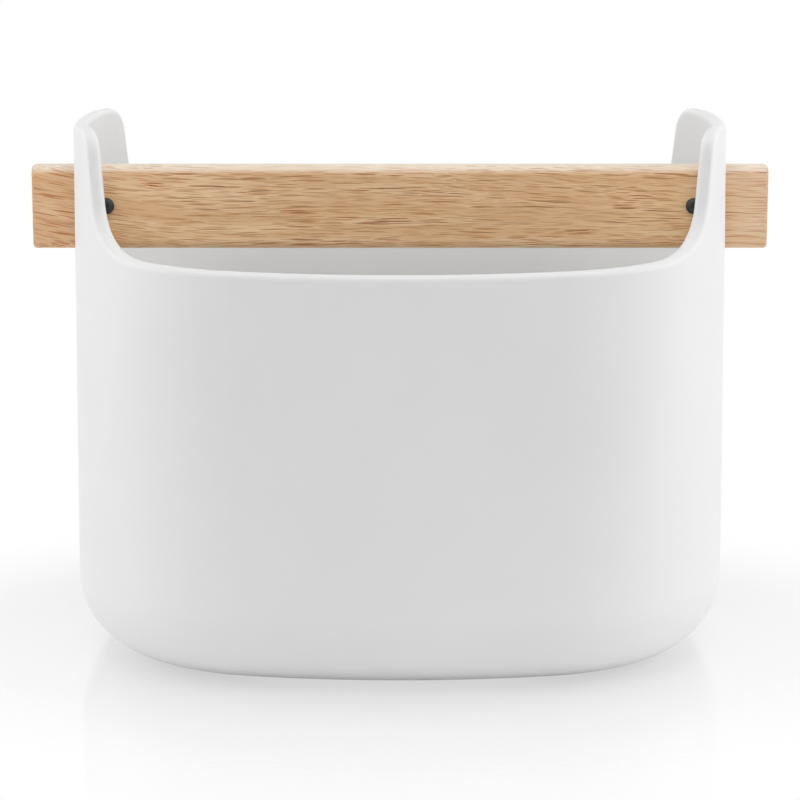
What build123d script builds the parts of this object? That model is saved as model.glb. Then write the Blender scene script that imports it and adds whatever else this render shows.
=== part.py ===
from build123d import *
import math
import os

# An open oval ceramic caddy. Two tall ears carry a wooden bar handle, which two small
# socket screws keep from sliding out. Millimetres, +Z up, origin under the middle of the foot.

# Ceramic body: plan of the oval, a rectangle with round corners whose ends and sides are
# bowed outwards. The corner radius is a share of half the depth.
body_length = 258.8
body_depth = 198.0
corner_radius_share = 0.828
end_bow = 0.3
side_bow = 4.7

# Ceramic body: heights, wall and roundings. The walls lean inwards by an angle in degrees, and
# the roundings are shares of the wall.
rim_height = 160.1
rim_rise = 3.4
wall_lean = 0.516
wall = 5.7
floor_thickness = 5.5
base_radius = 29.3
rim_rounding_share = 0.4
window_rounding_share = 0.25

# Ears, seen from the end
ear_top_width = 93.0
ear_flare = 9.1
ear_above_window = 17.7
ear_top_radius = 10.8
ear_sweep_radius = 24.1

# Foot ring under the body
foot_ring_width = 8.0
foot_recess_depth = 1.5
foot_edge_rounding = 1.0

# Wooden bar handle
bar_overhang = 16.3
bar_depth = 12.0
bar_height = 33.0
bar_below_rim = 2.7
bar_edge_rounding = 3.5
bar_end_rounding = 1.2

# Windows in the ears, around the bar
window_seat_gap = 0.2
window_side_clearance = 0.6
window_top_clearance = 1.0

# Socket screws and their threaded sleeves in the bar
screw_from_ear = 5.8
screw_above_bar_middle = 0.7
screw_head_diameter = 6.4
screw_head_height = 2.2
screw_head_side_share = 0.3
screw_crown_share = 0.55
screw_shank_diameter = 3.5
screw_shank_length = 7.0
screw_tip_chamfer = 0.5
socket_across_flats = 2.0
socket_depth = 1.2
sleeve_wall = 0.8
sleeve_length = 6.5
sleeve_chamfer_share = 0.5
thread_clearance = 0.05
pocket_spare_depth = 1.5

# How far a cutting shape runs past what it cuts
overrun = 10.0

# Sizes that follow from the ones above
corner_radius = corner_radius_share * body_depth / 2
bar_length = body_length + 2 * bar_overhang
bar_bottom = rim_height - bar_below_rim
window_width = bar_depth + 2 * window_side_clearance
window_bottom = bar_bottom - window_seat_gap
window_top = bar_bottom + bar_height + window_top_clearance
body_height = window_top + ear_above_window
sleeve_bore = screw_shank_diameter + 2 * thread_clearance
sleeve_diameter = sleeve_bore + 2 * sleeve_wall


def arc_centres():
    """Centres of the end, corner and side arcs in the first quarter, each tangent to the next."""
    reach_x = body_length / 2 - corner_radius
    reach_y = body_depth / 2 - corner_radius
    corner = Vector(reach_x - end_bow, reach_y - side_bow)
    end = Vector((reach_x**2 - corner.length**2) / (2 * end_bow), 0)
    side = Vector(0, (reach_y**2 - corner.length**2) / (2 * side_bow))
    return end, corner, side


def oval(inset):
    """The body's plan, drawn inwards by the inset on the same arc centres."""
    end, corner, side = arc_centres()
    end_middle = Vector(body_length / 2 - inset, 0)
    side_middle = Vector(0, body_depth / 2 - inset)
    end_join = end + (corner - end).normalized() * (end_middle - end).length
    side_join = side + (corner - side).normalized() * (side_middle - side).length
    bisector = (end_join - corner).normalized() + (side_join - corner).normalized()
    corner_middle = corner + bisector.normalized() * (corner_radius - inset)

    def flipped(point, x_sign, y_sign):
        return (point.X * x_sign, point.Y * y_sign)

    arcs = []
    for sign in (1, -1):
        end_ends = [flipped(end_join, sign, way) for way in (-1, 1)]
        side_ends = [flipped(side_join, way, sign) for way in (-1, 1)]
        arcs.append(ThreePointArc(end_ends[0], flipped(end_middle, sign, 1), end_ends[1]))
        arcs.append(ThreePointArc(side_ends[0], flipped(side_middle, 1, sign), side_ends[1]))
        for way in (1, -1):
            points = [flipped(p, sign, way) for p in (end_join, corner_middle, side_join)]
            arcs.append(ThreePointArc(*points))
    return make_face(arcs)


def leaned(height):
    """How far the walls have leaned inwards at a height."""
    return height * math.tan(math.radians(wall_lean))


def rounded_tub(inset, bottom, top, radius):
    """A block on the body's plan with leaning walls and a rounded lower edge."""
    plan = oval(inset + leaned(bottom))
    block = Pos(0, 0, bottom) * extrude(plan, top - bottom, taper=wall_lean)
    return fillet(block.edges().group_by(Axis.Z)[0], radius)


def end_outline():
    """What the body keeps, seen from its end: level rims that sweep up into the two ears."""
    outer = body_depth / 2 + overrun
    ear_foot = rim_height + rim_rise
    ear_foot_reach = ear_top_width / 2 + ear_flare
    half = [
        (ear_top_width / 2, body_height),
        (ear_foot_reach, ear_foot),
        (outer, rim_height - rim_rise * overrun / (body_depth / 2 - ear_foot_reach)),
        (outer, -overrun),
    ]
    other_half = [(-y, z) for y, z in reversed(half)]
    outline = make_face(Polyline(*half, *other_half, close=True))
    heights = outline.vertices().group_by(Axis.Y)
    outline = fillet(heights[-1], ear_top_radius)
    ear_feet = [v for v in outline.vertices() if math.isclose(v.Y, ear_foot, rel_tol=1e-6)]
    return fillet(ear_feet, ear_sweep_radius)


def along_x(outline, length):
    """Stand a sketch drawn in Y and Z upright and give it a length along X, about the middle."""
    return extrude(Plane.YZ * outline, length / 2, both=True)


def is_cross_line(edge):
    """True for a straight edge that runs across a wall, along X."""
    return edge.geom_type == GeomType.LINE and abs(edge.tangent_at(0.5).X) > 0.999


def round_rim(shell):
    """Round both sides of the top edge, along the rims, the sweeps and over the ears.

    The faces of that edge run across the wall. The leaning walls are cones, so they are left out.
    """
    edges = []
    for face in shell.faces():
        normal = face.normal_at()
        across = face.geom_type != GeomType.CONE and math.isclose(normal.X, 0, abs_tol=1e-6)
        if across and normal.Z > 0 and face.center().Z > rim_height / 2:
            edges += [edge for edge in face.edges() if not is_cross_line(edge)]
    return fillet(edges, rim_rounding_share * wall)


def cut_windows(shell):
    """Cut the bar's windows through both ears and round their mouths."""
    corner = bar_edge_rounding + window_side_clearance
    window = RectangleRounded(window_width, window_top - window_bottom, corner)
    shell -= along_x(Pos(0, (window_bottom + window_top) / 2) * window, body_length + overrun)
    rounding = window_rounding_share * wall
    mouths = []
    for edge in shell.edges():
        box = edge.bounding_box()
        inside = max(box.max.Y, -box.min.Y) < window_width / 2 + rounding
        level = box.min.Z > window_bottom - rounding and box.max.Z < window_top + rounding
        if inside and level and not is_cross_line(edge):
            mouths.append(edge)
    return fillet(mouths, rounding)


def cut_foot(shell):
    """Sink a shallow recess into the underside, which leaves the foot ring."""
    shell -= extrude(oval(base_radius + foot_ring_width), foot_recess_depth)
    foot_ring = shell.faces().sort_by(Axis.Z)[0]
    return fillet(foot_ring.inner_wires()[0].edges(), foot_edge_rounding)


def container_body():
    inner_floor = floor_thickness + foot_recess_depth
    outside = rounded_tub(0, 0, body_height + overrun, base_radius)
    inside = rounded_tub(wall, inner_floor, body_height + 2 * overrun, base_radius - wall)
    shell = (outside - inside) & along_x(end_outline(), body_length + overrun)
    shell = round_rim(shell)
    shell = cut_windows(shell)
    return cut_foot(shell)


def screw_place(side):
    """Centre of a screw on the bar's front face, with its own Z pointing out of the wood."""
    height = bar_bottom + bar_height / 2 + screw_above_bar_middle
    along = body_length / 2 - wall - leaned(height) - screw_from_ear
    return Plane((side * along, -bar_depth / 2, height), x_dir=(1, 0, 0), z_dir=(0, -1, 0))


def handle_bar():
    bar = Pos(0, 0, bar_bottom + bar_height / 2) * Box(bar_length, bar_depth, bar_height)
    long_edges = bar.edges().filter_by(Axis.X)
    bar = fillet(long_edges, bar_edge_rounding)
    ends = bar.faces().sort_by(Axis.X)
    bar = fillet(ends[0].edges() + ends[-1].edges(), bar_end_rounding)
    pocket_depth = screw_shank_length + pocket_spare_depth
    pocket = Cylinder(sleeve_diameter / 2, pocket_depth, align=(Align.CENTER, Align.CENTER, Align.MAX))
    for side in (-1, 1):
        bar -= screw_place(side) * pocket
    return bar


def threaded_sleeve(side):
    """Brass sleeve sunk flush into the bar. It holds the screw."""
    down = (Align.CENTER, Align.CENTER, Align.MAX)
    sleeve = Cylinder(sleeve_diameter / 2, sleeve_length, align=down)
    sleeve -= Cylinder(sleeve_bore / 2, sleeve_length, align=down)
    lead_edge = sleeve.edges().group_by(Axis.Z)[0].sort_by(SortBy.RADIUS)[-1]
    return screw_place(side) * chamfer(lead_edge, sleeve_chamfer_share * sleeve_wall)


def socket_screw(side):
    """Button-headed socket screw, turned as one profile, with a hexagonal socket."""
    head = screw_head_diameter / 2
    crown = head * screw_crown_share
    side_height = screw_head_height * screw_head_side_share
    shank = screw_shank_diameter / 2
    tip_radius = shank - screw_tip_chamfer
    tip_top = screw_tip_chamfer - screw_shank_length
    outline = [
        Line((0, -screw_shank_length), (tip_radius, -screw_shank_length)),
        Line((tip_radius, -screw_shank_length), (shank, tip_top)),
        Line((shank, tip_top), (shank, 0)),
        Line((shank, 0), (head, 0)),
        Line((head, 0), (head, side_height)),
        RadiusArc((head, side_height), (crown, screw_head_height), -head),
        Line((crown, screw_head_height), (0, screw_head_height)),
        Line((0, screw_head_height), (0, -screw_shank_length)),
    ]
    screw = revolve(Plane.XZ * make_face(outline), Axis.Z)
    socket = RegularPolygon(socket_across_flats / 2, 6, major_radius=False)
    screw -= Pos(0, 0, screw_head_height - socket_depth) * extrude(socket, socket_depth + overrun)
    return screw_place(side) * screw


nodes = {
    "container_body": container_body(),
    "handle_bar": handle_bar(),
    "left_threaded_sleeve": threaded_sleeve(-1),
    "right_threaded_sleeve": threaded_sleeve(1),
    "left_retaining_screw": socket_screw(-1),
    "right_retaining_screw": socket_screw(1),
}

os.makedirs("parts", exist_ok=True)
for name, solid in nodes.items():
    export_step(solid, f"parts/{name}.step")
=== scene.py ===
import math

import bmesh
import bpy
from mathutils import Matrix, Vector


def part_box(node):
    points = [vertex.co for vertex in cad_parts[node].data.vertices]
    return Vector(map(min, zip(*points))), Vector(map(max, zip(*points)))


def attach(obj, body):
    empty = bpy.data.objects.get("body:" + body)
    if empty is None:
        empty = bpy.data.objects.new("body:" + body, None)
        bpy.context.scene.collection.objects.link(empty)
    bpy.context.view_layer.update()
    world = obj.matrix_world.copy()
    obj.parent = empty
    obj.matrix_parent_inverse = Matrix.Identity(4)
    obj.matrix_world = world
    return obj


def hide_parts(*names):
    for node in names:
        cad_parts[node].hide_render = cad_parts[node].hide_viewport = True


# An open oval caddy: a tub of white matte ceramic with two tall ears, an oak bar through the
# ears as a carrying handle, and two black socket screws in brass sleeves that keep the bar in.
# Metres, +Z up. The bar runs along X and the screw heads face -Y.

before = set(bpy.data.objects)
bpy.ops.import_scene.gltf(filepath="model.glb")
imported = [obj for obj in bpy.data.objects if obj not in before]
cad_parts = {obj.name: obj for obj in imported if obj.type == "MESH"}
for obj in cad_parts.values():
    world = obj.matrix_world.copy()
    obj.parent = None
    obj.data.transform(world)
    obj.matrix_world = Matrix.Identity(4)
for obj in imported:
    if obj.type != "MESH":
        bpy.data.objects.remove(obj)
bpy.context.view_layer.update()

MM = 0.001
TAU = 2 * math.pi
WHITE = (1.0, 1.0, 1.0)
NOISE_MIDDLE = (0.5, 0.5, 0.5)

# Camera, as in the photograph
CAMERA_DISTANCE = 1.0877
CAMERA_HEIGHT = 0.3140
CAMERA_PITCH = math.radians(11.384)
CAMERA_LENS = 123.65
CAMERA_SENSOR = 36.0

# Softboxes: the place, the width and height, and the power in watts. All aim at the same point.
LAMP_AIM = (0.0, 0.0, 0.11)
SOFTBOXES = {
    "left_softbox": ((-1.25, 0.05, 0.45), (0.9, 1.1), 8.5),
    "right_softbox": ((1.25, 0.05, 0.45), (0.9, 1.1), 9.9),
    "front_softbox": ((0.0, -0.7, 1.35), (1.3, 0.8), 4.8),
    "low_front_softbox": ((0.0, -1.5, 0.28), (1.4, 0.25), 3.3),
    "overhead_softbox": ((0.0, -0.1, 1.45), (1.6, 1.2), 8.0),
}

# The white surround: how much of it lights the object
AMBIENT = 0.205

# Floor. Its zones are ellipses round the origin, given by their reach along Y.
FLOOR_REACH = 6.0
FLOOR_DROP = 0.1 * MM
FOOTPRINT_ASPECT = 1.3
FLOOR_GREY = (0.86, 0.86, 0.86)
FLOOR_WHITENESS = 0.47
FADE_TO_WHITE = (0.11, 0.20)
UNDER_OVERHANG = (0.112, 0.074)
# Painted light: a white glow that lightens the shadow under the body's overhang
OVERHANG_PAINTED_LIGHT = 0.20
OVERHANG_DULLING = 0.7
REFLECTION = (0.29, 0.10)
POLISH_ROUGHNESS = 0.1
POLISH_IOR = 2.3

# Glaze: its marks as noise scales, the places where it changes, and its colours
GLAZE_CLOUDS = {"scale": 16.0, "detail": 3.0}
GLAZE_SKIN = {"scale": 420.0, "detail": 2.0}
GLAZE_GRIT = {"scale": 2600.0, "detail": 2.0}
CLOUD_SPREAD = (0.3, 0.7)
GRIT_SPREAD = (0.35, 0.65)
PINHOLE_SCALE = 120.0
PINHOLE_EDGE = (0.045, 0.03)
PINHOLE_STRENGTH = 0.10
FOOT_HEIGHT = 0.7 * MM
FOOT_FACING = (-0.75, -0.95)
# Where the glaze takes painted light: the well's walls and floor, with less of it higher up on the
# ears
WELL_FLOOR_FACING = (0.02, 0.2)
WELL_FLOOR_HEIGHT = (60.0 * MM, 50.0 * MM)
WELL_WALL_FACING = (-0.035, -0.08)
EAR_HEIGHT = (150.0 * MM, 170.0 * MM)
EAR_PAINTED_LIGHT_CUT = 0.5
GLAZE_DARK = (0.758, 0.760, 0.758)
GLAZE_LIGHT = (0.776, 0.777, 0.774)
# Painted light: the lighter colour of the well's inside
GLAZE_PAINTED_LIGHT_INSIDE = (0.868, 0.880, 0.884)
PINHOLE_GREY = (0.52, 0.50, 0.47)
BISQUE_DARK = (0.60, 0.55, 0.48)
BISQUE_LIGHT = (0.70, 0.66, 0.60)
GLAZE_ROUGHNESS = 0.44
CLOUD_ROUGHENING = 0.06
SKIN_ROUGHENING = 0.06
BISQUE_ROUGHENING = 0.3
GLAZE_RELIEF = 0.02 * MM
SKIN_RELIEF = 0.75
GRIT_RELIEF = 0.25
PINHOLE_RELIEF = 0.6
GLAZE_IOR = 1.48

# Oak streaks: noise drawn out along the bar, in millimetres, and spread from low to high
TONE_STREAKS = {"length": 60.0, "width": 4.0, "low": 0.32, "high": 0.68, "detail": 2.0}
BLUSH_STREAKS = {"length": 62.0, "width": 12.0, "low": 0.50, "high": 0.72}
HONEY_STREAKS = {"length": 90.0, "width": 16.0, "low": 0.52, "high": 0.74}
FIBRE_STREAKS = {"length": 12.0, "width": 0.42, "low": 0.32, "high": 0.68, "detail": 2.0,
                 "roughness": 0.6}
RAY_STREAKS = {"length": 8.0, "width": 0.5, "low": 0.35, "high": 0.7, "detail": 2.0,
               "roughness": 0.6}
PORE_PATCHES = {"length": 55.0, "width": 4.0, "low": 0.36, "high": 0.64}

# Oak pores: the length and width of a pore's cell in millimetres, and its size in the cell
FINE_PORES = {"length": 11.0, "width": 0.44, "size": 0.42}
SHORT_PORES = {"length": 19.0, "width": 0.62, "size": 0.36}
LONG_PORES = {"length": 36.0, "width": 0.95, "size": 0.26}
PORE_CORE = 0.7
FAINTEST_PORE = 0.35
PORES_EVERYWHERE = 0.5
MORE_IN_EARLY_WOOD = 0.25
MORE_IN_PATCHES = 0.5
MORE_NEAR_END = 0.35
# Painted sheen: pores show fainter on faces that look up
FAINTER_PORES_IN_PAINTED_SHEEN = 0.5
FEWER_AT_PALE_END = 0.35

# Oak grain: how its lines wander and fall, and its growth rings, in millimetres
SLOW_WANDER = {"length": 90.0, "width": 40.0, "reach": 2.0}
QUICK_WANDER = {"length": 34.0, "width": 9.0, "reach": 0.5}
LEFT_FALL_START = -60.0
LEFT_FALL = 0.0011
RIGHT_FALL_START = 10.0
RIGHT_FALL = 0.06
PITH_BEHIND = 30.0
PITH_BELOW = 46.0
RING_WIDTH = 4.2
EARLY_WOOD_START = (0.0, 0.15)
EARLY_WOOD_END = (0.7, 0.3)

# Oak zones: distances from the bar's end in millimetres, and how far a face looks up
NEAR_END = (34.0, 12.0)
PALE_END = (24.0, 10.0)
END_FACE = (0.9, 0.2)
# Faces that look up take a painted sheen
PAINTED_SHEEN_FACING = (0.0, 0.77)

# Oak colours: the layers lie over each other in this order, each with its strength
OAK_DARK = (0.870, 0.560, 0.310)
OAK_LIGHT = (0.990, 0.720, 0.455)
OAK_LAYERS = {
    "blush": (0.45, (0.940, 0.580, 0.350)),
    "honey": (0.40, (0.960, 0.640, 0.320)),
    "fibres": (0.40, (0.720, 0.410, 0.185)),
    "near_end": (0.45, (0.540, 0.345, 0.200)),
    "pale_end": (0.22, (0.820, 0.720, 0.570)),
    # Painted sheen: a pale colour on faces that look up
    "upper": (0.75, (0.810, 0.745, 0.650)),
    "fine_pores": (0.75, (0.610, 0.260, 0.090)),
    "short_pores": (1.0, (0.480, 0.160, 0.047)),
    "long_pores": (1.0, (0.360, 0.110, 0.032)),
}
END_GRAIN_LIGHT = (0.600, 0.370, 0.195)
END_GRAIN_DARK = (0.360, 0.190, 0.085)
END_GRAIN_STRENGTH = 0.75
END_RINGS = 0.5
END_RAYS = 0.3
OAK_ROUGHNESS = 0.46
FIBRE_ROUGHENING = 0.08
PORE_ROUGHENING = 0.18
OAK_RELIEF = 0.05 * MM
FIBRE_RELIEF = 0.2
PORE_RELIEF = 0.8
FINE_PORE_RELIEF = 0.25
OAK_IOR = 1.34

# Blackened steel of the screws
STEEL_MOTTLE = {"scale": 900.0, "detail": 3.0}
STEEL_MOTTLE_SPREAD = (0.3, 0.7)
STEEL_RUBS = {"scale": 2400.0, "detail": 2.0}
STEEL_RUB_SPREAD = (0.58, 0.75)
STEEL_RUB_STRENGTH = 0.4
STEEL_DARK = (0.012, 0.013, 0.012)
STEEL_LIGHT = (0.024, 0.027, 0.025)
STEEL_RUBBED = (0.075, 0.078, 0.072)
STEEL_ROUGHNESS = 0.40
STEEL_MOTTLE_ROUGHENING = 0.14
STEEL_RELIEF = 0.01 * MM
STEEL_IOR = 1.5

# Brass of the sleeves
BRASS_MARK_SCALES = (300.0, 14000.0, 300.0)
BRASS_PATCHES = {"scale": 700.0, "detail": 3.0}
BRASS_PATCH_SPREAD = (0.35, 0.7)
BRASS_BRIGHT = (0.640, 0.450, 0.180)
BRASS_DULL = (0.480, 0.320, 0.120)
BRASS_ROUGHNESS = 0.24
BRASS_MARK_ROUGHENING = 0.12
BRASS_PATCH_ROUGHENING = 0.1
BRASS_RELIEF = 0.005 * MM

# Screws and sleeves: what the frame's boxes don't give
SHANK_RADIUS = 1.75 * MM
SHANK_TIP_CHAMFER = 0.5 * MM
THREAD_PITCH = 0.7 * MM
THREAD_DEPTH = 0.38 * MM
HEAD_SIDE_SHARE = 0.3
HEAD_CROWN_SHARE = 0.55
HEAD_EDGE_ROUNDING = 0.16 * MM
SOCKET_FLATS = 6
SOCKET_HALF_WIDTH = 1.0 * MM
SOCKET_DEPTH = 1.2 * MM
SOCKET_LEAD_IN = 0.14 * MM
SLEEVE_BORE_RADIUS = 1.8 * MM
SLEEVE_BORE_THREAD = -0.6
SLEEVE_LEAD_CHAMFER = 0.4 * MM
SLEEVE_GROOVE_DEPTH = 0.3 * MM
SLEEVE_GROOVE_SHARES = (0.42, 0.58)
KNURL_COUNT = 24
KNURL_DEPTH = 0.18 * MM

# How finely they are turned
TURNED_SEGMENTS = 96
ROWS_PER_PITCH = 10
CROWN_STEPS = 12
WELD_DISTANCE = 0.002 * MM
SHARP_ANGLE = math.radians(32)


class Flow:
    """A socket in a node tree. Arithmetic adds Math nodes, and node() adds any other node."""

    def __init__(self, tree, socket=None):
        self.tree = tree
        self.socket = socket

    def node(self, kind, settings=None, inputs=None, output=0):
        """Add a node: its settings first, then a value or a link for each input."""
        made = self.tree.nodes.new(kind)
        for name, value in (settings or {}).items():
            setattr(made, name, value)
        for key, value in (inputs or {}).items():
            socket = made.inputs[key]
            if isinstance(value, Flow):
                self.tree.links.new(value.socket, socket)
            elif socket.type == "RGBA":
                socket.default_value = (*value, 1.0)
            else:
                socket.default_value = value
        return Flow(self.tree, made.outputs[output] if made.outputs else None)

    def out(self, name):
        """Another output of the same node."""
        return Flow(self.tree, self.socket.node.outputs[name])

    def math(self, operation, *values):
        return self.node("ShaderNodeMath", {"operation": operation}, dict(enumerate(values)))

    def vector(self, operation, *values, output=0):
        settings = {"operation": operation}
        return self.node("ShaderNodeVectorMath", settings, dict(enumerate(values)), output)

    def split(self, vector):
        """The X of a vector, with its Y and Z as other outputs."""
        return self.node("ShaderNodeSeparateXYZ", None, {0: vector})

    def smooth(self, low, high):
        """0 below the low value, 1 above the high one, or the other way round if low is larger."""
        settings = {"interpolation_type": "SMOOTHSTEP"}
        return self.node("ShaderNodeMapRange", settings, {0: self, 1: low, 2: high})

    def mix(self, low_colour, high_colour):
        """This value blends one colour into another."""
        inputs = {0: self, 6: low_colour, 7: high_colour}
        return self.node("ShaderNodeMix", {"data_type": "RGBA"}, inputs, 2)

    def noise(self, scale, detail=2.0, roughness=0.5, output=0):
        inputs = {"Vector": self, "Scale": scale, "Detail": detail, "Roughness": roughness}
        return self.node("ShaderNodeTexNoise", None, inputs, output)

    def cells(self, scale):
        """Distance to the nearest of many scattered points."""
        return self.node("ShaderNodeTexVoronoi", None, {"Vector": self, "Scale": scale})

    def __add__(self, other):
        return self.math("ADD", self, other)

    def __sub__(self, other):
        return self.math("SUBTRACT", self, other)

    def __rsub__(self, other):
        return self.math("SUBTRACT", other, self)

    def __mul__(self, other):
        return self.math("MULTIPLY", self, other)

    def __truediv__(self, other):
        return self.math("DIVIDE", self, other)

    def __rtruediv__(self, other):
        return self.math("DIVIDE", other, self)

    def __mod__(self, other):
        return self.math("FLOORED_MODULO", self, other)

    def __lt__(self, other):
        return self.math("LESS_THAN", self, other)

    __radd__ = __add__
    __rmul__ = __mul__


def surface(name):
    """A new material with an empty tree, and a Flow that adds nodes to it."""
    material = bpy.data.materials.new(name)
    material.use_nodes = True
    material.node_tree.nodes.clear()
    return material, Flow(material.node_tree)


def close_surface(flow, inputs):
    """Give the inputs to one shader, and the shader to the material."""
    shader = flow.node("ShaderNodeBsdfPrincipled", None, inputs)
    flow.node("ShaderNodeOutputMaterial", None, {"Surface": shader})


def bump(flow, height, distance):
    inputs = {"Height": height, "Distance": distance, "Strength": 1.0}
    return flow.node("ShaderNodeBump", None, inputs)


def matte_glaze():
    """White matte glaze: faint clouds in its tone, a well made lighter by painted light, and a
    bare foot.

    It has a fine skin and rare pinholes.
    """
    material, flow = surface("matte_white_glaze")
    coordinates = flow.node("ShaderNodeTexCoord")
    place = coordinates.out("Object")
    normal = coordinates.out("Normal")
    height = flow.split(place).out("Z")
    facing_up = flow.split(normal).out("Z")

    clouds = place.noise(**GLAZE_CLOUDS)
    skin = place.noise(**GLAZE_SKIN)
    grit = place.noise(**GLAZE_GRIT)
    pinholes = place.cells(PINHOLE_SCALE).smooth(*PINHOLE_EDGE)
    foot = (height < FOOT_HEIGHT) * facing_up.smooth(*FOOT_FACING)

    # Painted light: the well's walls and floor get a lighter colour, cut back higher up on the
    # ears
    outward = flow.vector("MULTIPLY", place, (1.0, 1.0, 0.0))
    facing_out = flow.vector("DOT_PRODUCT", normal, outward, output="Value")
    well_wall = facing_out.smooth(*WELL_WALL_FACING)
    well_floor = facing_up.smooth(*WELL_FLOOR_FACING) * height.smooth(*WELL_FLOOR_HEIGHT)
    painted_inside_light = flow.math("MAXIMUM", well_wall, well_floor)
    painted_inside_light = painted_inside_light * (1.0 - height.smooth(*EAR_HEIGHT) * EAR_PAINTED_LIGHT_CUT)

    tone = clouds.smooth(*CLOUD_SPREAD).mix(GLAZE_DARK, GLAZE_LIGHT)
    tone = painted_inside_light.mix(tone, GLAZE_PAINTED_LIGHT_INSIDE)
    tone = (pinholes * PINHOLE_STRENGTH).mix(tone, PINHOLE_GREY)
    bisque = grit.smooth(*GRIT_SPREAD).mix(BISQUE_DARK, BISQUE_LIGHT)
    roughness = GLAZE_ROUGHNESS + clouds * CLOUD_ROUGHENING + skin * SKIN_ROUGHENING
    relief = skin * SKIN_RELIEF + grit * GRIT_RELIEF - pinholes * PINHOLE_RELIEF
    close_surface(flow, {
        "Base Color": foot.mix(tone, bisque),
        "Roughness": roughness + foot * BISQUE_ROUGHENING,
        "Normal": bump(flow, relief, GLAZE_RELIEF),
        "IOR": GLAZE_IOR,
    })
    return material


def oiled_oak():
    """Light oak: growth rings round a pith outside the bar, fibres, and many dark pores.

    The upper side is paler with fainter pores, a painted sheen; the right end is paler too, and
    the ends show end grain.
    """
    low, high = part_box("handle_bar")
    middle = (low + high) / 2
    half = (high - low) / (2 * MM)
    material, flow = surface("oiled_light_oak")
    coordinates = flow.node("ShaderNodeTexCoord")
    place = flow.vector("SUBTRACT", coordinates.out("Object"), tuple(middle))
    place = flow.vector("MULTIPLY", place, (1 / MM, 1 / MM, 1 / MM))

    def drawn(point, length, width):
        """Stretch the space: a unit is the length along the bar and the width across it."""
        return flow.vector("MULTIPLY", point, (1 / length, 1 / width, 1 / width))

    def streaks(point, length, width, low, high, detail=1.0, roughness=0.5):
        """Noise drawn out along the bar."""
        return drawn(point, length, width).noise(1.0, detail, roughness).smooth(low, high)

    def pores(point, length, width, size):
        """Dark dashes that taper at both ends, one in each stretched cell, some fainter."""
        cell = drawn(point, length, width).cells(1.0)
        shade = flow.node("ShaderNodeSeparateColor", None, {0: cell.out("Color")})
        strength = FAINTEST_PORE + shade * (1.0 - FAINTEST_PORE)
        return cell.smooth(size, size * PORE_CORE) * strength

    def wander(point, length, width, reach):
        """Shift a point across the grain by a slow noise, up to the reach."""
        sway = drawn(point, length, width).noise(1.0, 1.0, output="Color")
        sway = flow.vector("SUBTRACT", sway, NOISE_MIDDLE)
        return flow.vector("MULTIPLY_ADD", sway, (0.0, 2 * reach, 2 * reach), point)

    def sweep(point):
        """Let the grain fall at the left end, and in the upper part of the right half."""
        at = flow.split(point)
        left_run = flow.math("MINIMUM", at - LEFT_FALL_START, 0.0)
        right_run = flow.math("MAXIMUM", at - RIGHT_FALL_START, 0.0)
        share_of_height = at.out("Z") / (2 * half.z) + 0.5
        fall = right_run * share_of_height * RIGHT_FALL - left_run * left_run * LEFT_FALL
        return flow.vector("ADD", point, flow.node("ShaderNodeCombineXYZ", None, {"Z": fall}))

    def towards_end(distance, stretch):
        """0 to 1 over a stretch of the bar, given by its distances from the bar's end."""
        start, finish = stretch
        return distance.smooth(half.x - start, half.x - finish)

    bent = wander(wander(sweep(place), **SLOW_WANDER), **QUICK_WANDER)
    at = flow.split(bent)
    across = at.out("Y") - PITH_BEHIND
    upward = at.out("Z") + PITH_BELOW
    from_pith = flow.math("SQRT", across * across + upward * upward)
    ring = (from_pith / RING_WIDTH) % 1.0
    early_wood = ring.smooth(*EARLY_WOOD_START) * ring.smooth(*EARLY_WOOD_END)

    to_the_right = flow.split(place)
    from_middle = flow.math("ABSOLUTE", to_the_right)
    near_end = towards_end(from_middle, NEAR_END)
    end_face = towards_end(from_middle, END_FACE)
    pale_end = towards_end(to_the_right, PALE_END)
    # Painted sheen: how far a face looks up, for its pale colour and fainter pores
    upper = flow.split(coordinates.out("Normal")).out("Z").smooth(*PAINTED_SHEEN_FACING)

    fibres = streaks(bent, **FIBRE_STREAKS)
    patches = streaks(bent, **PORE_PATCHES)
    quiet = (1.0 - upper * FAINTER_PORES_IN_PAINTED_SHEEN) * (1.0 - pale_end * FEWER_AT_PALE_END)
    crowd = PORES_EVERYWHERE + early_wood * MORE_IN_EARLY_WOOD
    crowd = (crowd + patches * MORE_IN_PATCHES + near_end * MORE_NEAR_END) * quiet
    fine_pores = pores(bent, **FINE_PORES) * quiet
    short_pores = pores(bent, **SHORT_PORES) * crowd
    long_pores = pores(bent, **LONG_PORES) * crowd

    masks = {
        "blush": streaks(place, **BLUSH_STREAKS),
        "honey": streaks(place, **HONEY_STREAKS),
        "fibres": fibres,
        "near_end": near_end,
        "pale_end": pale_end,
        "upper": upper,
        "fine_pores": fine_pores,
        "short_pores": short_pores,
        "long_pores": long_pores,
    }
    wood = streaks(bent, **TONE_STREAKS).mix(OAK_DARK, OAK_LIGHT)
    for layer, (strength, colour) in OAK_LAYERS.items():
        wood = (masks[layer] * strength).mix(wood, colour)
    end_lines = early_wood * END_RINGS + streaks(place, **RAY_STREAKS) * END_RAYS
    end_grain = end_lines.mix(END_GRAIN_LIGHT, END_GRAIN_DARK)

    open_pores = flow.math("MAXIMUM", short_pores, long_pores)
    relief = fibres * FIBRE_RELIEF - open_pores * PORE_RELIEF - fine_pores * FINE_PORE_RELIEF
    close_surface(flow, {
        "Base Color": (end_face * END_GRAIN_STRENGTH).mix(wood, end_grain),
        "Roughness": OAK_ROUGHNESS + fibres * FIBRE_ROUGHENING + open_pores * PORE_ROUGHENING,
        "Normal": bump(flow, relief, OAK_RELIEF),
        "IOR": OAK_IOR,
    })
    return material


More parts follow.
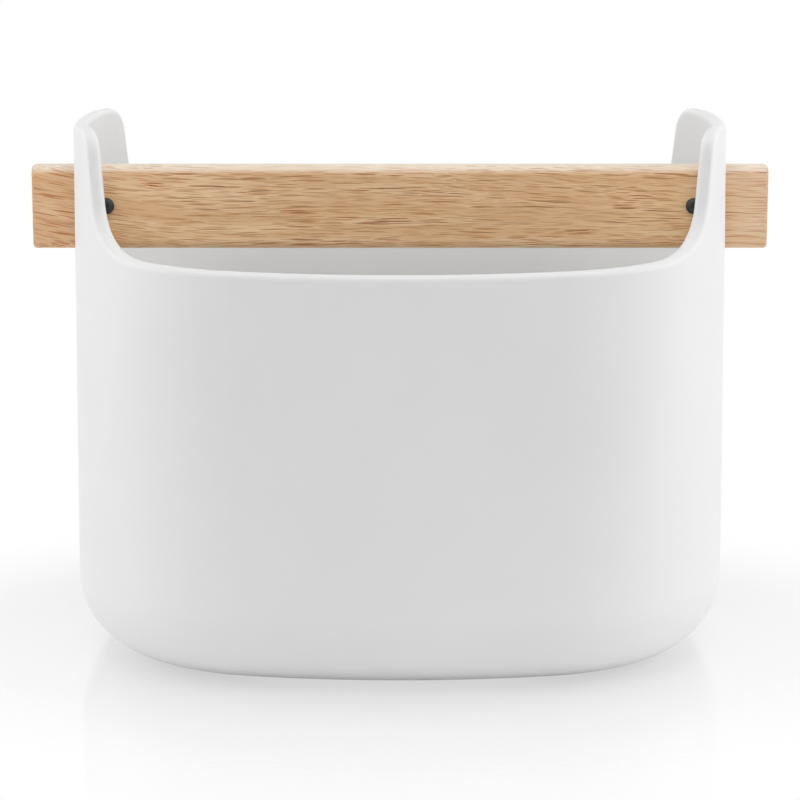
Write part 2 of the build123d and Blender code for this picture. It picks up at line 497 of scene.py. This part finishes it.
def black_oxide():
    """Blackened steel, a little greenish, rubbed paler in spots."""
    material, flow = surface("black_oxide_steel")
    place = flow.node("ShaderNodeTexCoord", output="Object")
    mottle = place.noise(**STEEL_MOTTLE)
    rubbed = place.noise(**STEEL_RUBS).smooth(*STEEL_RUB_SPREAD)
    dark = mottle.smooth(*STEEL_MOTTLE_SPREAD).mix(STEEL_DARK, STEEL_LIGHT)
    close_surface(flow, {
        "Base Color": (rubbed * STEEL_RUB_STRENGTH).mix(dark, STEEL_RUBBED),
        "Roughness": STEEL_ROUGHNESS + mottle * STEEL_MOTTLE_ROUGHENING,
        "Normal": bump(flow, mottle, STEEL_RELIEF),
        "IOR": STEEL_IOR,
    })
    return material


def turned_brass():
    """Brass with fine turning marks and dull patches."""
    material, flow = surface("turned_brass")
    place = flow.node("ShaderNodeTexCoord", output="Object")
    marks = flow.vector("MULTIPLY", place, BRASS_MARK_SCALES).noise(1.0)
    patches = place.noise(**BRASS_PATCHES)
    roughness = BRASS_ROUGHNESS + marks * BRASS_MARK_ROUGHENING
    close_surface(flow, {
        "Base Color": patches.smooth(*BRASS_PATCH_SPREAD).mix(BRASS_BRIGHT, BRASS_DULL),
        "Roughness": roughness + patches * BRASS_PATCH_ROUGHENING,
        "Normal": bump(flow, marks, BRASS_RELIEF),
        "Metallic": 1.0,
    })
    return material


def turned_part_tree():
    """Turns a profile of points (radius in X, height in Z) into a solid, in one sweep round Z.

    The points carry three values: thread cuts a helix, knurl cuts straight flutes, and socket
    draws the round out to a hexagon. The part then points along -Y at its place.
    """
    tree = bpy.data.node_groups.new("turned_part", "GeometryNodeTree")
    sizes = {"Segments": "Int", "Pitch": "Float", "Thread Depth": "Float", "Knurl Count": "Int",
             "Knurl Depth": "Float", "Place": "Vector", "Finish": "Material"}
    tree.interface.new_socket("Geometry", in_out="INPUT", socket_type="NodeSocketGeometry")
    for name, kind in sizes.items():
        tree.interface.new_socket(name, in_out="INPUT", socket_type=f"NodeSocket{kind}")
    tree.interface.new_socket("Geometry", in_out="OUTPUT", socket_type="NodeSocketGeometry")

    flow = Flow(tree)
    given = flow.node("NodeGroupInput")
    profile = given.out("Geometry")
    segments = given.out("Segments")
    count = flow.node("GeometryNodeAttributeDomainSize", {"component": "MESH"}, {0: profile})
    rows = count.out("Point Count")
    grid_size = {"Vertices X": segments + 1, "Vertices Y": rows}
    grid = flow.node("GeometryNodeMeshGrid", None, grid_size)
    index = flow.node("GeometryNodeInputIndex")
    row = index % rows
    angle = flow.math("FLOOR", index / rows) * TAU / segments

    def on_profile(kind, value):
        """A value of the profile's point that this row of the grid stands for."""
        settings = {"data_type": kind, "domain": "POINT"}
        inputs = {"Geometry": profile, "Value": value, "Index": row}
        return flow.node("GeometryNodeSampleIndex", settings, inputs)

    def mark(name):
        settings = {"data_type": "FLOAT"}
        value = flow.node("GeometryNodeInputNamedAttribute", settings, {"Name": name})
        return on_profile("FLOAT", value)

    def valley(phase):
        """0 on a ridge and 1 in the valley between two ridges."""
        return flow.math("ABSOLUTE", (phase % 1.0) * 2.0 - 1.0)

    point = flow.split(on_profile("FLOAT_VECTOR", flow.node("GeometryNodeInputPosition")))
    height = point.out("Z")
    turns = height / given.out("Pitch") - angle / TAU
    thread = valley(turns) * given.out("Thread Depth") * mark("thread")
    flutes = angle * given.out("Knurl Count") / TAU
    knurl = valley(flutes) * given.out("Knurl Depth") * mark("knurl")
    flat = TAU / SOCKET_FLATS
    from_flat_middle = (angle + flat / 2) % flat - flat / 2
    hexagon = 1.0 / flow.math("COSINE", from_flat_middle)
    radius = (point - thread - knurl) * (1.0 + (hexagon - 1.0) * mark("socket"))
    place = flow.node("ShaderNodeCombineXYZ", None, {
        "X": radius * flow.math("COSINE", angle),
        "Y": radius * flow.math("SINE", angle),
        "Z": height,
    })

    def then(kind, **inputs):
        """The next step for the solid."""
        return flow.node(f"GeometryNode{kind}", None, {"Geometry": solid, **inputs})

    solid = grid
    solid = then("SetPosition", Position=place)
    solid = then("MergeByDistance", Distance=WELD_DISTANCE)
    solid = then("Transform", Translation=given.out("Place"), Rotation=(TAU / 4, 0.0, 0.0))
    solid = then("RealizeInstances")
    solid = then("SetMaterial", Material=given.out("Finish"))
    flow.node("NodeGroupOutput", None, {"Geometry": solid})
    return tree


def turned_part(name, profile, tree, place, finish):
    """Bake one turned part from its profile points."""
    mesh = bpy.data.meshes.new(name)
    mesh.from_pydata([(point["radius"], 0.0, point["height"]) for point in profile], [], [])
    for mark in ("thread", "knurl", "socket"):
        values = mesh.attributes.new(mark, "FLOAT", "POINT")
        values.data.foreach_set("value", [point[mark] for point in profile])
    piece = bpy.data.objects.new(name, mesh)
    bpy.context.scene.collection.objects.link(piece)
    modifier = piece.modifiers.new("turning", "NODES")
    modifier.node_group = tree
    sizes = {
        "Segments": TURNED_SEGMENTS,
        "Pitch": THREAD_PITCH,
        "Thread Depth": THREAD_DEPTH,
        "Knurl Count": KNURL_COUNT,
        "Knurl Depth": KNURL_DEPTH,
        "Place": tuple(place),
        "Finish": finish,
    }
    for socket in tree.interface.items_tree:
        if socket.in_out == "INPUT" and socket.name in sizes:
            modifier[socket.identifier] = sizes[socket.name]
    graph = bpy.context.evaluated_depsgraph_get()
    baked = bpy.data.meshes.new_from_object(piece.evaluated_get(graph))
    piece.modifiers.remove(modifier)
    piece.data = baked
    baked.name = name

    shape = bmesh.new()
    shape.from_mesh(baked)
    bmesh.ops.recalc_face_normals(shape, faces=shape.faces)
    shape.to_mesh(baked)
    shape.free()
    baked.shade_smooth()
    baked.set_sharp_from_angle(angle=SHARP_ANGLE)
    return piece


def profile_point(radius, height, thread=0.0, knurl=0.0, socket=0.0):
    """A point of a profile, and how much of the thread, the knurl and the socket it takes."""
    return {"radius": radius, "height": height, "thread": thread, "knurl": knurl, "socket": socket}


def steps(low, high, count):
    return [low + (high - low) * number / count for number in range(count + 1)]


def screw_profile(head_radius, head_height, shank_length):
    """From the middle of the shank's tip, along the thread and over the head, into the socket."""
    root = SHANK_RADIUS - THREAD_DEPTH
    rows = round(shank_length / THREAD_PITCH * ROWS_PER_PITCH)
    points = [profile_point(0.0, -shank_length), profile_point(root, -shank_length)]
    for height in steps(-shank_length, 0.0, rows)[1:-1]:
        taper = min(1.0, (height + shank_length) / SHANK_TIP_CHAMFER)
        run_out = min(1.0, -height / THREAD_PITCH)
        crest = root + THREAD_DEPTH * taper
        points.append(profile_point(crest, height, thread=taper * run_out))
    points += [
        profile_point(SHANK_RADIUS, 0.0),
        profile_point(head_radius - HEAD_EDGE_ROUNDING, 0.0),
        profile_point(head_radius, HEAD_EDGE_ROUNDING),
    ]

    side = head_height * HEAD_SIDE_SHARE
    crown = head_radius * HEAD_CROWN_SHARE
    for angle in steps(0.0, TAU / 4, CROWN_STEPS):
        radius = head_radius - (head_radius - crown) * (1 - math.cos(angle))
        points.append(profile_point(radius, side + (head_height - side) * math.sin(angle)))
    socket_corner = SOCKET_HALF_WIDTH / math.cos(TAU / SOCKET_FLATS / 2)
    bottom = head_height - SOCKET_DEPTH
    return points + [
        profile_point(socket_corner + SOCKET_LEAD_IN, head_height),
        profile_point(SOCKET_HALF_WIDTH, head_height - SOCKET_LEAD_IN, socket=1.0),
        profile_point(SOCKET_HALF_WIDTH, bottom, socket=1.0),
        profile_point(0.0, bottom - SOCKET_LEAD_IN),
    ]


def sleeve_profile(outer_radius, length):
    """A closed ring: down the threaded bore, then up the knurled outside with its groove.

    The bore's thread is negative, because it is cut outwards.
    """
    rows = round(length / THREAD_PITCH * ROWS_PER_PITCH)
    waist = outer_radius - SLEEVE_GROOVE_DEPTH
    groove_high, groove_low = (-length * share for share in SLEEVE_GROOVE_SHARES)
    points = [
        profile_point(SLEEVE_BORE_RADIUS, height, thread=SLEEVE_BORE_THREAD)
        for height in steps(0.0, -length, rows)
    ]
    points += [
        profile_point(outer_radius - SLEEVE_LEAD_CHAMFER, -length),
        profile_point(outer_radius, SLEEVE_LEAD_CHAMFER - length, knurl=1.0),
        profile_point(outer_radius, groove_low, knurl=1.0),
        profile_point(waist, groove_low),
        profile_point(waist, groove_high),
        profile_point(outer_radius, groove_high, knurl=1.0),
        profile_point(outer_radius, 0.0, knurl=1.0),
    ]
    return points + points[:1]


def make_screws_and_sleeves():
    tree = turned_part_tree()
    steel, brass = black_oxide(), turned_brass()
    bar_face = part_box("handle_bar")[0].y
    for side in ("left", "right"):
        node = f"{side}_retaining_screw"
        low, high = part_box(node)
        centre = Vector(((low.x + high.x) / 2, bar_face, (low.z + high.z) / 2))
        profile = screw_profile((high.x - low.x) / 2, bar_face - low.y, high.y - bar_face)
        screw = turned_part(f"{side}_socket_screw", profile, tree, centre, steel)
        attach(screw, f"{side}_screw")
        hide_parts(node)

        node = f"{side}_threaded_sleeve"
        low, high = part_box(node)
        profile = sleeve_profile((high.x - low.x) / 2, high.y - low.y)
        sleeve = turned_part(f"{side}_knurled_sleeve", profile, tree, centre, brass)
        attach(sleeve, "handle")
        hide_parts(node)


def dress(node, material):
    """Give a CAD node its material."""
    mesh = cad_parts[node].data
    mesh.materials.clear()
    mesh.materials.append(material)


def pale_floor():
    """Pale polished board: it keeps the shadow and the reflection, lightens the shadow under the
    overhang with painted light, and further off it is white.
    """
    material, flow = surface("pale_floor")
    place = flow.node("ShaderNodeTexCoord", output="Object")
    place = flow.vector("MULTIPLY", place, (1 / FOOTPRINT_ASPECT, 1.0, 1.0))
    away = flow.vector("LENGTH", place, output="Value")
    far = away.smooth(*FADE_TO_WHITE)
    under = away.smooth(*UNDER_OVERHANG)
    near = away.smooth(*REFLECTION) * (1.0 - under * OVERHANG_DULLING)

    path = flow.node("ShaderNodeLightPath")
    seen = flow.math("MAXIMUM", path.out("Is Camera Ray"), path.out("Is Glossy Ray"))
    # The glow under the overhang is painted light on the shadow there
    whiteness = FLOOR_WHITENESS + far * (1.0 - FLOOR_WHITENESS) + under * OVERHANG_PAINTED_LIGHT
    board = flow.node("ShaderNodeBsdfDiffuse", None, {"Color": FLOOR_GREY})
    white = flow.node("ShaderNodeEmission", None, {"Color": WHITE, "Strength": 1.0})
    matte = flow.node("ShaderNodeMixShader", None, {0: whiteness * seen, 1: board, 2: white})
    polish_inputs = {"Color": WHITE, "Roughness": POLISH_ROUGHNESS}
    polish = flow.node("ShaderNodeBsdfGlossy", None, polish_inputs)
    gloss = flow.node("ShaderNodeFresnel", None, {"IOR": POLISH_IOR}) * near
    mixed = flow.node("ShaderNodeMixShader", None, {0: gloss, 1: matte, 2: polish})
    flow.node("ShaderNodeOutputMaterial", None, {"Surface": mixed})
    return material


def make_floor():
    mesh = bpy.data.meshes.new("floor")
    reach = FLOOR_REACH
    corners = [(-reach, -reach), (reach, -reach), (reach, reach), (-reach, reach)]
    mesh.from_pydata([(x, y, -FLOOR_DROP) for x, y in corners], [], [(0, 1, 2, 3)])
    mesh.materials.append(pale_floor())
    floor = bpy.data.objects.new("floor", mesh)
    bpy.context.scene.collection.objects.link(floor)


def soft_lamp(name, place, size, power):
    lamp = bpy.data.lights.new(name, "AREA")
    lamp.shape = "RECTANGLE"
    lamp.size, lamp.size_y = size
    lamp.energy = power
    holder = bpy.data.objects.new(name, lamp)
    holder.location = place
    aim = Vector(LAMP_AIM) - Vector(place)
    holder.rotation_euler = aim.to_track_quat("-Z", "Y").to_euler()
    bpy.context.scene.collection.objects.link(holder)


def light_studio():
    """A white surround that lights the object softly, and the softboxes."""
    world = bpy.data.worlds.new("white_studio")
    world.use_nodes = True
    world.node_tree.nodes.clear()
    flow = Flow(world.node_tree)
    path = flow.node("ShaderNodeLightPath")
    seen = flow.math("MAXIMUM", path.out("Is Camera Ray"), path.out("Is Glossy Ray"))
    seen = flow.math("MAXIMUM", seen, path.out("Is Transmission Ray"))
    strength = AMBIENT + (1.0 - AMBIENT) * seen
    surround = flow.node("ShaderNodeBackground", None, {"Color": WHITE, "Strength": strength})
    flow.node("ShaderNodeOutputWorld", None, {"Surface": surround})
    bpy.context.scene.world = world
    for name, (place, size, power) in SOFTBOXES.items():
        soft_lamp(name, place, size, power)


def place_camera():
    data = bpy.data.cameras.new("photo_camera")
    data.sensor_width = CAMERA_SENSOR
    data.lens = CAMERA_LENS
    camera = bpy.data.objects.new("photo_camera", data)
    camera.location = (0.0, -CAMERA_DISTANCE, CAMERA_HEIGHT)
    camera.rotation_euler = (TAU / 4 - CAMERA_PITCH, 0.0, 0.0)
    bpy.context.scene.collection.objects.link(camera)
    bpy.context.scene.camera = camera


dress("container_body", matte_glaze())
dress("handle_bar", oiled_oak())
make_screws_and_sleeves()
make_floor()
light_studio()
place_camera()
bpy.context.scene.view_settings.view_transform = "Standard"

bpy.context.view_layer.update()
